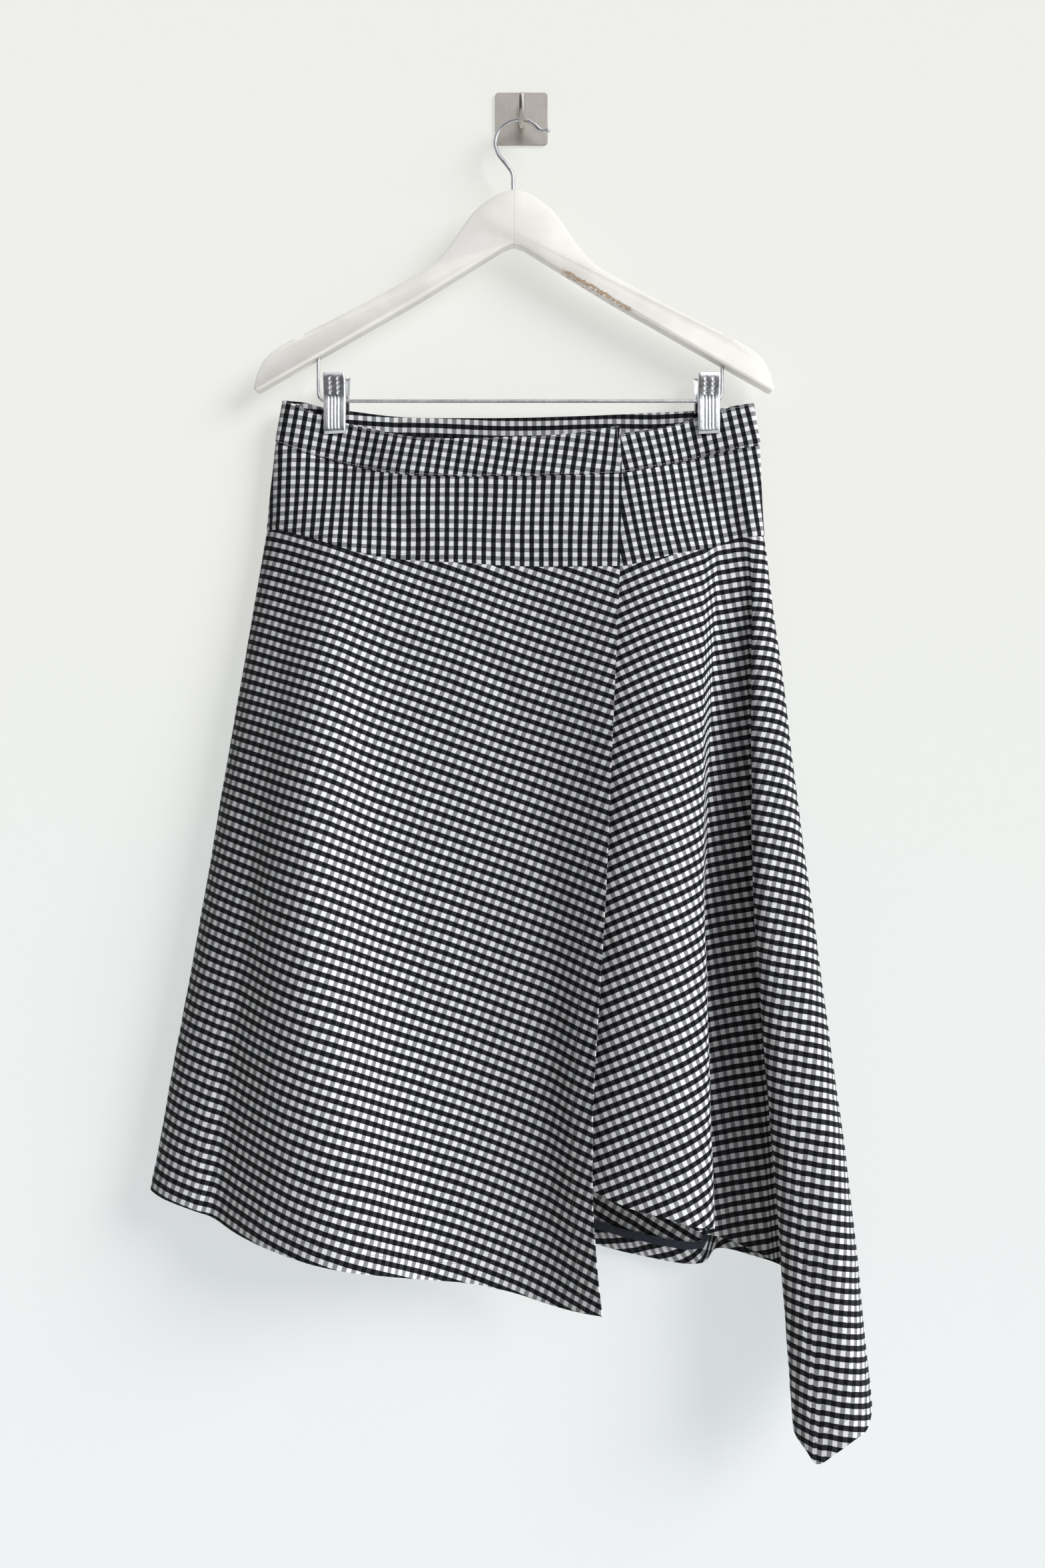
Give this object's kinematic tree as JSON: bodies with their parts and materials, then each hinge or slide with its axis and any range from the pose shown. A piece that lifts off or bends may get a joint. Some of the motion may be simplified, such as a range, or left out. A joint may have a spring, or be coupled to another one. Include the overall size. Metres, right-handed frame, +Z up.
{
  "type": "asymmetric wrap skirt on a clip hanger with wall hook",
  "caption": "Gingham wrap skirt with a stepped hem and a long pointed corner, clipped to a painted wooden hanger on a square wall hook.",
  "frame": {"origin": "centre of the wall plate's back face, which lies on the wall", "axes": "+Y into the wall, +Z up along the skirt's length, +X to the right as the viewer sees it"},
  "size_m": [0.6012, 0.0995, 1.1467],
  "materials": {
    "gingham": "black and white gingham, plain weave, matt",
    "plate_steel": "brushed, warm grey",
    "rod_steel": "polished rod",
    "wire_steel": "drawn wire, bright",
    "painted_wood": "white paint over wood, satin, worn on one edge",
    "clip_chrome": "nickel plated pressed steel"
  },
  "bodies": {
    "root": {"waistband_over": "gingham", "waistband_under": "gingham", "waistband_back": "gingham", "yoke_over": "gingham", "yoke_under": "gingham", "yoke_back": "gingham", "panel_over": "gingham", "panel_under": "gingham", "panel_back": "gingham", "hem_turn_up": "gingham", "wall_plate": "plate_steel", "wall_hook": "rod_steel", "hanger_hook": "wire_steel", "clip_bar": "wire_steel", "hanger_body": "painted_wood", "clip_front_left": "clip_chrome", "clip_back_left": "clip_chrome", "clip_spring_left": "clip_chrome", "clip_front_right": "clip_chrome", "clip_back_right": "clip_chrome", "clip_spring_right": "clip_chrome"}
  },
  "joints": []
}
